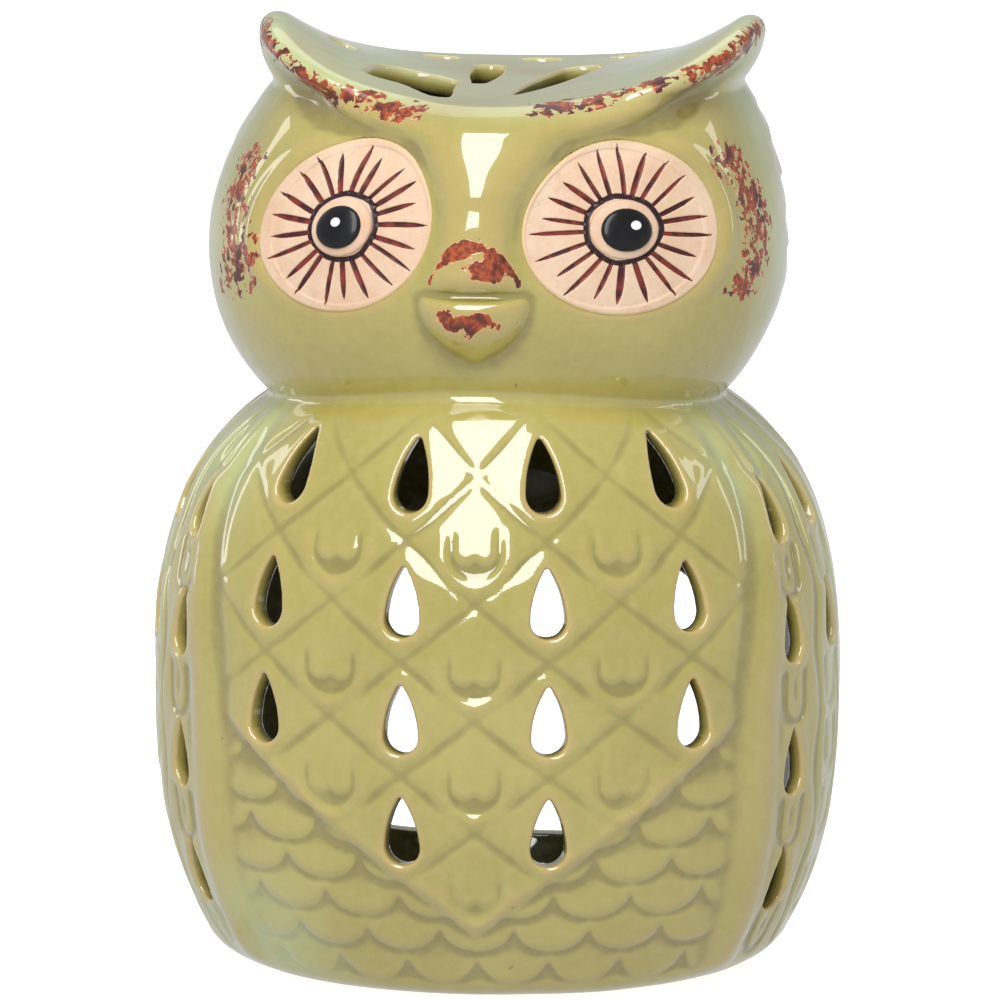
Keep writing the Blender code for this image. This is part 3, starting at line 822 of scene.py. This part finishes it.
def glaze_material():
    n = Nodes(bpy.data.materials.new("celadon_glaze"))
    place = n.place()
    fine, broad = n.attribute("fine"), n.attribute("broad")
    lip, deep, mint = n.attribute("lip"), n.attribute("deep"), n.attribute("mint")
    cloud = n.noise(place, 28.0, 4.0, 0.6)
    speck = n.noise(place, 420.0, 3.0, 0.6)
    base = n.mix(n.ease(cloud, 0.35, 0.68), srgb(178, 165, 80), srgb(187, 174, 91))
    thin = n.ease(n.math("ADD", n.scaled(fine, 2.2), n.scaled(broad, 0.6)), 0.10, 0.90)
    # Pooled glaze darkens the grooves. In the larger hollows, such as under the brow, this darkening is
    # painted shade.
    pooled_glaze_and_shade = n.ease(n.math("ADD", n.scaled(fine, -2.2), n.scaled(broad, -1.0)), 0.10, 0.90)
    colour = n.tint(base, pooled_glaze_and_shade, 0.66, srgb(130, 116, 50))
    cloudy = n.ease(n.math("ADD", cloud, n.scaled(pooled_glaze_and_shade, 0.25)), 0.22, 0.60)
    pit = n.ease(n.noise(place, 330.0, 1.0), 0.80, 0.815)
    for share, strength, shade in (
        (n.math("MULTIPLY", mint, cloudy), 0.85, srgb(200, 222, 166)),
        (thin, 0.36, srgb(204, 174, 110)),
        (lip, 0.50, srgb(214, 180, 122)),
        # painted shade: the inside of the lantern darkened to a deep olive
        (deep, 0.90, srgb(72, 68, 30)),
        (pit, 0.5, srgb(120, 92, 48)),
        (n.ease(speck, 0.35, 0.75), 0.10, srgb(224, 220, 150)),
    ):
        colour = n.tint(colour, share, strength, shade)

    worn, bare = n.attribute("worn"), n.attribute("bare")
    chip = n.noise(place, 520.0, 4.0, 0.62, 0.3)
    patch = n.noise(place, 170.0, 3.0, 0.55, 0.6)
    ragged = n.math("ADD", n.spread(chip, 4.2), n.spread(patch, 2.6))
    wear = n.math("ADD", n.scaled(worn, 0.90), ragged)
    rub = n.math("ADD", bare, n.spread(patch, 2.4))
    wear = n.math("MAXIMUM", wear, n.math("ADD", rub, 0.06))
    seen = n.ease(n.math("MAXIMUM", worn, bare), 0.10, 0.40)
    wear = n.math("MULTIPLY", wear, seen)
    halo = n.ease(wear, 0.52, 0.60)
    red = n.ease(wear, 0.62, 0.70)
    grit = n.ease(n.noise(place, 900.0, 3.0, 0.6), 0.35, 0.65)
    rust = n.mix(grit, srgb(120, 48, 26), srgb(188, 86, 44))
    rust = n.mix(n.ease(n.noise(place, 260.0, 2.0), 0.50, 0.68), rust, srgb(84, 34, 30))
    colour = n.tint(colour, halo, 0.85, srgb(226, 168, 104))
    colour = n.mix(red, colour, rust)

    ripple = n.noise(place, 60.0, 2.0)
    crumbs = n.scaled(n.math("MULTIPLY", chip, red), 0.55)
    relief = n.math("ADD", n.scaled(ripple, 0.35), crumbs)
    relief = n.math("SUBTRACT", relief, n.scaled(halo, 0.30))
    relief = n.math("SUBTRACT", relief, n.scaled(pit, 0.4))
    n.set(Base_Color=colour, Roughness=n.between(red, 0.30, 0.52), Specular_IOR_Level=0.25)
    n.set(Coat_Weight=n.between(red, 1.0, 0.35), Coat_Roughness=0.03, Coat_IOR=1.9)
    normal = n.bump(relief, 0.35, 0.0005)
    n.set(Normal=normal, Coat_Normal=normal)
    return n.owner


def clay_material():
    n = Nodes(bpy.data.materials.new("bare_painted_clay"))
    place = n.place()
    paint, ring = n.attribute("paint"), n.attribute("ring")
    warm = n.noise(place, 90.0, 5.0, 0.6)
    fleck = n.noise(place, 900.0, 3.0, 0.6)
    colour = n.mix(n.ease(warm, 0.30, 0.72), srgb(238, 210, 182), srgb(228, 190, 158))
    colour = n.tint(colour, n.ease(fleck, 0.45, 0.75), 0.22, srgb(206, 164, 124))
    stain = n.ease(n.noise(place, 140.0, 6.0, 0.7, 1.6), 0.62, 0.66)
    colour = n.tint(colour, stain, 0.20, srgb(184, 132, 88))
    colour = n.tint(colour, n.attribute("rim"), 0.55, srgb(232, 208, 150))
    brush = n.noise(place, 700.0, 3.0, 0.6)
    line = n.ease(n.math("ADD", paint, n.spread(brush, 0.45)), 0.40, 0.58)
    ink = n.mix(n.ease(n.noise(place, 300.0, 2.0), 0.40, 0.62), srgb(70, 16, 18), srgb(132, 48, 36))
    ink = n.mix(ring, ink, srgb(44, 12, 22))
    colour = n.mix(line, colour, ink)
    grain = n.math("ADD", n.scaled(fleck, 0.5), n.scaled(warm, 1.2))
    n.set(Base_Color=colour, Roughness=n.between(line, 0.70, 0.34))
    n.set(Normal=n.bump(grain, 0.5, 0.0003))
    n.set(Sheen_Weight=0.08, Sheen_Roughness=0.5)
    return n.owner


def pupil_material():
    n = Nodes(bpy.data.materials.new("black_enamel"))
    place = n.place()
    smear = n.noise(place, 160.0, 4.0, 0.6)
    colour = n.mix(n.ease(smear, 0.35, 0.7), srgb(8, 8, 10), srgb(22, 23, 29))
    colour = n.mix(n.attribute("glint"), colour, srgb(252, 252, 250))
    n.set(Base_Color=colour, Roughness=n.between(smear, 0.22, 0.36), Specular_IOR_Level=0.3)
    n.set(Coat_Weight=0.25, Coat_Roughness=0.12, Normal=n.bump(smear, 0.3, 0.0003))
    return n.owner


def metal_material():
    n = Nodes(bpy.data.materials.new("tealight_aluminium"))
    place = n.place()
    brushed = n.add("Mapping", Vector=place, Scale=(1.0, 1.0, 14.0))
    grain = n.noise(brushed.outputs[0], 160.0, 4.0, 0.6)
    smear = n.noise(place, 60.0, 3.0)
    colour = n.mix(smear, srgb(206, 208, 210), srgb(226, 227, 228))
    n.set(Base_Color=colour, Metallic=1.0, Roughness=n.between(grain, 0.20, 0.42))
    n.set(Normal=n.bump(grain, 0.25, 0.0002))
    return n.owner


def wax_material():
    n = Nodes(bpy.data.materials.new("white_wax"))
    place = n.place()
    cloud = n.noise(place, 120.0, 4.0, 0.6)
    colour = n.mix(n.ease(cloud, 0.3, 0.7), srgb(238, 234, 222), srgb(248, 246, 238))
    n.set(Base_Color=colour, Roughness=n.between(cloud, 0.34, 0.52))
    n.set(Subsurface_Weight=0.35, Subsurface_Scale=0.004, Normal=n.bump(cloud, 0.3, 0.0003))
    return n.owner


def cotton_material():
    n = Nodes(bpy.data.materials.new("waxed_cotton"))
    place = n.place()
    bands = {"wave_type": "BANDS", "bands_direction": "DIAGONAL"}
    twist = n.add("TexWave", bands, Vector=place, Scale=420.0, Distortion=1.5)
    fibre = n.noise(place, 1400.0, 3.0, 0.6)
    strand = n.math("ADD", twist.outputs["Fac"], n.scaled(fibre, 0.5))
    colour = n.mix(n.ease(strand, 0.2, 1.2), srgb(196, 188, 166), srgb(240, 236, 222))
    n.set(Base_Color=colour, Roughness=0.8, Normal=n.bump(strand, 0.6, 0.0003))
    return n.owner


def floor_material():
    n = Nodes(bpy.data.materials.new("pale_floor"))
    place = n.place()
    cloud = n.noise(place, 3.0, 2.0)
    colour = n.mix(cloud, (0.93, 0.93, 0.93, 1.0), (0.95, 0.95, 0.95, 1.0))
    n.set(Base_Color=colour, Roughness=0.6)
    n.set(Emission_Color=(1.0, 1.0, 1.0, 1.0), Emission_Strength=0.78)
    return n.owner


# ---------------------------------------------------------------- pieces


def surface_point(degrees, z, offset):
    """Points on the face, moved out along the wall's normal in plan."""
    radius = looked_up(("seat",), degrees, z)[0] + offset
    turn = np.radians(degrees)
    return np.stack([radius * np.sin(turn) + head_lean(z), -radius * np.cos(turn), z], -1)


def grid_faces(rings, segments):
    """Faces between rings of points, each ring closed on itself."""
    ring, spoke = np.meshgrid(np.arange(rings - 1), np.arange(segments), indexing="ij")
    here, after = ring * segments + spoke, ring * segments + (spoke + 1) % segments
    return np.stack([here + segments, after + segments, after, here], -1).reshape(-1, 4)


def closed_faces(rings, segments):
    """Faces between the rings, and a fan to a middle point at each end. The two middle points come after
    the rings' own."""
    spoke = np.arange(0, segments, 2)
    one, two = (spoke + 1) % segments, (spoke + 2) % segments
    middle, low = np.full(len(spoke), rings * segments), (rings - 1) * segments
    first = np.stack([middle, spoke, one, two], 1)
    last = np.stack([middle + 1, low + two, low + one, low + spoke], 1)
    return np.concatenate([grid_faces(rings, segments), first, last])


def eye_lens(name, side, share, front, back, rings, segments, material, attributes):
    """A closed lens on the face. front gives offsets for a radius share and an angle, and back is the
    offset of its flat rear. attributes gives paint weights in the same way as front."""
    inner = 0.002
    radii = np.concatenate([np.linspace(inner, 1.0, rings), np.linspace(1.0, inner, 12)])
    is_back = (np.arange(len(radii)) >= rings)[:, None]
    angle = np.linspace(0.0, 2.0 * math.pi, segments, endpoint=False)
    r, a = np.meshgrid(radii, angle, indexing="ij")
    offset = np.where(is_back, back, front(r, a))
    swollen = share * r * (1.0 + (eye_swelling(side, a) - 1.0) * ease(0.5, 1.0, share * r))
    degrees = side * EYE_ANGLE + EYE_HALF_ANGLE[side] * swollen * np.cos(a)
    z = EYE_Z + EYE_HALF_HEIGHT * swollen * np.sin(a)
    points = surface_point(degrees.ravel(), z.ravel(), offset.ravel())
    middles = [points[:segments].mean(0)[None], points[-segments:].mean(0)[None]]
    values = {}
    for key, weight in attributes.items():
        value = np.where(is_back, 0.0, weight(r, a)).ravel()
        values[key] = np.concatenate([value, [value[:segments].mean(), 0.0]])
    faces = closed_faces(len(radii), segments)
    return mesh_object(name, np.concatenate([points, *middles]), faces, material, values)


def ray_strokes(side):
    """Angle, inner and outer radius, bend and width of each painted ray of one eye."""
    rng = np.random.default_rng(SEED + (3 if side > 0 else 4))
    count = 22 if side > 0 else 21
    start = math.radians(4.0)
    angles = start + (np.arange(count) + rng.uniform(-0.16, 0.16, count)) * 2.0 * math.pi / count
    inner = rng.uniform(0.375, 0.40, count)
    outer = rng.uniform(0.80, 0.95, count)
    bend = rng.uniform(-0.07, 0.07, count)
    width = rng.uniform(0.022, 0.036, count)
    return list(zip(angles, inner, outer, bend, width))


def build_disc(side, word, clay):
    strokes = ray_strokes(side)

    def stroke_share(r, a):
        found = np.zeros_like(r)
        for angle, inner, outer, bend, width in strokes:
            along = (r - inner) / (outer - inner)
            centre = angle + bend * (along - 0.5)
            off = r * np.sin(np.clip(np.angle(np.exp(1j * (a - centre))), -1.2, 1.2))
            leaf = width * np.clip(1.0 - np.abs(1.6 * along - 0.62) ** 3.2, 0.0, 1.0) + 0.003
            inside = ease(1.25, 0.55, np.abs(off) / leaf) * (along > -0.02) * (along < 1.02)
            found = np.maximum(found, inside)
        return found

    def ring_share(r, a):
        wobble = 0.010 * np.sin(3.0 * a + side) + 0.006 * np.sin(7.0 * a + 2.0)
        return ease(0.040, 0.022, np.abs(r - RING_SHARE - 0.006 - wobble))

    def front(r, a):
        dish = -0.35 * ease(1.0, 0.5, r) - 0.30 * ease(0.975, 1.0, r)
        step = 0.30 * ease(0.0, 0.02, np.hypot(r * np.cos(a) + 0.06 * side, r * np.sin(a)) - 0.90)
        wave = 0.06 * np.sin(5.0 * r * np.cos(a) + 1.0) * np.sin(6.0 * r * np.sin(a) + side)
        return 0.05 + dish + step + wave - 0.45 * stroke_share(r, a) - 0.25 * ring_share(r, a)

    return eye_lens(
        f"eye_disc_{word}_painted",
        side,
        1.012,
        front,
        0.3 - EYE_SINK,
        90,
        640,
        clay,
        {
            "paint": lambda r, a: np.maximum(stroke_share(r, a), ring_share(r, a)),
            "ring": ring_share,
            "rim": lambda r, a: ease(0.95, 1.0, r),
        },
    )


def build_mound(side, word, clay):
    def front(r, a):
        return 0.1 + 0.95 * np.sqrt(np.maximum(1.0 - r**2.6, 0.0))

    return eye_lens(
        f"iris_{word}_painted",
        side,
        RING_SHARE - 0.028,
        front,
        0.05 - 0.55,
        24,
        128,
        clay,
        dict.fromkeys(("paint", "ring", "rim"), lambda r, a: 0.0 * r),
    )


def build_pupil(side, word, black):
    dot_x, dot_y = {1: (0.27, 0.24), -1: (-0.02, 0.27)}[side]

    def front(r, a):
        return 1.02 + 1.25 * np.sqrt(np.maximum(1.0 - r**2.4, 0.0))

    def glint(r, a):
        x, y = r * np.cos(a) - dot_x, r * np.sin(a) - dot_y
        return ease(0.225, 0.185, np.hypot(x, y))

    return eye_lens(
        f"pupil_{word}_painted",
        side,
        PUPIL_SHARE,
        front,
        0.75,
        48,
        160,
        black,
        {"glint": glint},
    )


def turned(name, profile, segments, centre, material, wave=None):
    """A solid turned about a vertical axis. The profile of (radius, z) runs from the top's middle to the
    base's middle. wave gives a change of radius for an angle and height."""
    profile = np.array(profile, float)
    profile[:, 0] = np.maximum(profile[:, 0], 0.01)
    angle = np.linspace(0.0, 2.0 * math.pi, segments, endpoint=False)
    radius, a = np.meshgrid(profile[:, 0], angle, indexing="ij")
    z = np.repeat(profile[:, 1][:, None], segments, 1)
    if wave:
        radius = radius + wave(a, z, radius)
    x, y = centre[0] + radius * np.cos(a), centre[1] + radius * np.sin(a)
    points = np.stack([x, y, centre[2] + z], -1).reshape(-1, 3)
    ends = [[centre[0], centre[1], centre[2] + profile[end, 1]] for end in (0, -1)]
    faces = closed_faces(len(profile), segments)
    made = mesh_object(name, np.concatenate([points, ends]), faces, material)
    made.data.set_sharp_from_angle(angle=math.radians(42.0))
    return made


def arc_points(cx, cz, radius, start, stop, count):
    turns = np.radians(np.linspace(start, stop, count))
    return [(cx + radius * math.cos(t), cz + radius * math.sin(t)) for t in turns]


def build_tealight(metal, wax, cotton):
    low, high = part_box("tealight_cup")
    centre = ((low.x + high.x) / 2.0 / MM, (low.y + high.y) / 2.0 / MM, low.z / MM)
    inside = CUP_RADIUS - CUP_SHEET

    def flutes(a, z, radius):
        height = ease(1.0, 3.0, z) * ease(CUP_HEIGHT - 0.6, CUP_HEIGHT - 2.4, z)
        return 0.16 * np.sin(36.0 * a) * (radius > inside - 0.5) * height

    cup = turned(
        "tealight_cup_shell",
        [(0.0, CUP_SHEET)]
        + [(inside * t, CUP_SHEET + 0.15 * (t > 0.6) * (t < 0.8)) for t in np.linspace(0.05, 0.9, 18)]
        + arc_points(inside - 1.2, CUP_SHEET + 1.2, 1.2, -90, 0, 6)
        + [(inside, z) for z in np.linspace(2.4, CUP_HEIGHT - 1.0, 14)]
        + arc_points(CUP_RADIUS - 0.35, CUP_HEIGHT - 0.45, 0.45, 180, -20, 10)
        + [(CUP_RADIUS - 0.18, z) for z in np.linspace(CUP_HEIGHT - 1.3, 1.8, 14)]
        + arc_points(CUP_RADIUS - 1.7, 1.5, 1.5, 0, -90, 7)
        + [(CUP_RADIUS * t, 0.0) for t in np.linspace(0.85, 0.02, 10)],
        288,
        centre,
        metal,
        flutes,
    )
    edge = inside - 0.45
    bore = WICK_RADIUS + 0.15

    def dished(t):
        dip = 0.55 * math.sin(math.pi * min(t, 1.0)) ** 0.8
        return bore + t * (edge - bore), WAX_HEIGHT - dip + 0.5 * max(t - 0.9, 0.0) * 6.0

    candle = turned(
        "tealight_wax_fill",
        [(bore, WAX_HEIGHT - 2.0), (bore + 0.1, WAX_HEIGHT + 0.25)]
        + [dished(t) for t in np.linspace(0.06, 1.0, 30)]
        + [(edge, z) for z in np.linspace(WAX_HEIGHT - 0.2, 2.4, 8)]
        + [(edge - 1.2, 1.3), (TAB_RADIUS + 0.4, 1.3), (TAB_RADIUS + 0.4, 2.2), (bore, 2.2)],
        144,
        centre,
        wax,
    )
    tab = turned(
        "wick_tab_plate",
        [(0.0, 1.45)]
        + [(t, 1.45) for t in (1.2, 3.0, 5.6)]
        + arc_points(TAB_RADIUS - 0.3, 1.2, 0.25, 80, -80, 6)
        + [(5.6, 0.92), (2.0, 0.92), (0.1, 0.92)],
        72,
        centre,
        metal,
    )

    def strands(a, z, radius):
        return 0.10 * np.cos(3.0 * (a - 1.1 * z)) * (radius > 0.3)

    wick = turned(
        "tealight_wick_twist",
        [(0.0, WICK_LENGTH), (0.35, WICK_LENGTH - 0.02), (0.7, WICK_LENGTH - 0.25)]
        + [(WICK_RADIUS - 0.12, z) for z in np.linspace(WICK_LENGTH - 0.7, 1.8, 90)]
        + [(0.5, 1.75), (0.05, 1.75)],
        36,
        centre,
        cotton,
        strands,
    )
    return {
        "tealight_cup": (cup, "cup"),
        "tealight_wax": (candle, "wax"),
        "wick_tab": (tab, "tab"),
        "tealight_wick": (wick, "wick"),
    }


def build_shell(material):
    values, low = sampled_grid(GRID_LOW, GRID_HIGH, VOXEL)
    points, faces = surface_net(values, low, VOXEL)
    points = settled(points, faces, VOXEL, 3)
    return mesh_object("owl_shell_glazed", points, faces, material, glaze_attributes(points))


def install(piece, node, body):
    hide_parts(node)
    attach(piece, body)


def build_model():
    glaze, clay, black = glaze_material(), clay_material(), pupil_material()
    metal, wax, cotton = metal_material(), wax_material(), cotton_material()
    install(build_shell(glaze), "owl_shell", "lantern")
    for side, word in ((-1, "right"), (1, "left")):
        install(build_disc(side, word, clay), f"eye_disc_{word}", "lantern")
        install(build_mound(side, word, clay), f"iris_{word}", "lantern")
        install(build_pupil(side, word, black), f"pupil_{word}", "lantern")
    for node, (piece, slot) in build_tealight(metal, wax, cotton).items():
        install(piece, node, "tealight")


# ---------------------------------------------------------------- stage

CAMERA_AZIMUTH, CAMERA_ELEVATION, CAMERA_DISTANCE = 4.0, 10.0, 1.8
CAMERA_LENS = 309.2
LOOK_AT = Vector((0.0, 0.0, 0.1))
LOOK_RIGHT, LOOK_DOWN = 0.00042, 0.00566
FLOOR_HALF, FLOOR_GAP = 6.0, 0.0003


def direction(azimuth, elevation):
    a, e = math.radians(azimuth), math.radians(elevation)
    return Vector((math.sin(a) * math.cos(e), -math.cos(a) * math.cos(e), math.sin(e)))


def build_camera():
    data = bpy.data.cameras.new("camera")
    data.lens = CAMERA_LENS
    camera = bpy.data.objects.new("camera", data)
    bpy.context.scene.collection.objects.link(camera)
    back = direction(CAMERA_AZIMUTH, CAMERA_ELEVATION)
    turn = (-back).to_track_quat("-Z", "Y")
    right, up = turn @ Vector((1.0, 0.0, 0.0)), turn @ Vector((0.0, 1.0, 0.0))
    camera.rotation_mode = "QUATERNION"
    camera.rotation_quaternion = turn
    camera.location = LOOK_AT + back * CAMERA_DISTANCE + right * LOOK_RIGHT - up * LOOK_DOWN
    bpy.context.scene.camera = camera


def area_light(name, azimuth, elevation, distance, width, height, radiance):
    data = bpy.data.lights.new(name, "AREA")
    data.shape = "RECTANGLE"
    data.size, data.size_y = width, height
    data.energy = radiance * math.pi * width * height
    light = bpy.data.objects.new(name, data)
    bpy.context.scene.collection.objects.link(light)
    towards = direction(azimuth, elevation)
    light.location = LOOK_AT + towards * distance
    light.rotation_mode = "QUATERNION"
    light.rotation_quaternion = (-towards).to_track_quat("-Z", "Y")


WORLD_FRONT, WORLD_REAR, WORLD_TOP, WORLD_BELOW = 0.50, 0.42, 0.50, 0.68


def build_world():
    """A white surround, with its own brightness ahead, behind, overhead and below."""
    n = Nodes(bpy.data.worlds.new("studio"), "Background")
    bpy.context.scene.world = n.owner
    heading = n.add("SeparateXYZ", Vector=n.add("TexCoord").outputs["Generated"]).outputs
    rear = n.ease(heading["Y"], 0.0, 0.9, WORLD_FRONT, WORLD_REAR)
    high = n.ease(heading["Z"], 0.55, 1.0)
    top = n.add("Mix", Factor=high, A=rear, B=WORLD_TOP).outputs["Result"]
    above = n.ease(heading["Z"], -0.10, 0.10, kind="LINEAR")
    strength = n.add("Mix", Factor=above, A=WORLD_BELOW, B=top).outputs["Result"]
    n.set(Strength=strength, Color=(1.0, 1.0, 1.0, 1.0))


def build_stage():
    mesh = bpy.data.meshes.new("floor")
    corners = [(-1, -1), (1, -1), (1, 1), (-1, 1)]
    mesh.from_pydata([(FLOOR_HALF * x, FLOOR_HALF * y, 0.0) for x, y in corners], [], [(0, 1, 2, 3)])
    floor = bpy.data.objects.new("floor", mesh)
    floor.location.z = -FLOOR_GAP
    mesh.materials.append(floor_material())
    bpy.context.scene.collection.objects.link(floor)
    floor.visible_diffuse = floor.visible_glossy = False
    build_world()
    area_light("window", -8.0, 45.0, 1.1, 0.42, 1.30, 5.7)
    area_light("left_strip", -118.0, 18.0, 1.2, 0.20, 0.9, 2.0)
    area_light("right_strip", 110.0, 20.0, 1.3, 0.16, 0.8, 1.8)
    area_light("rear_fill", 180.0, 50.0, 1.4, 1.0, 0.8, 0.7)
    bpy.context.scene.view_settings.view_transform = "Standard"


build_model()
build_camera()
build_stage()
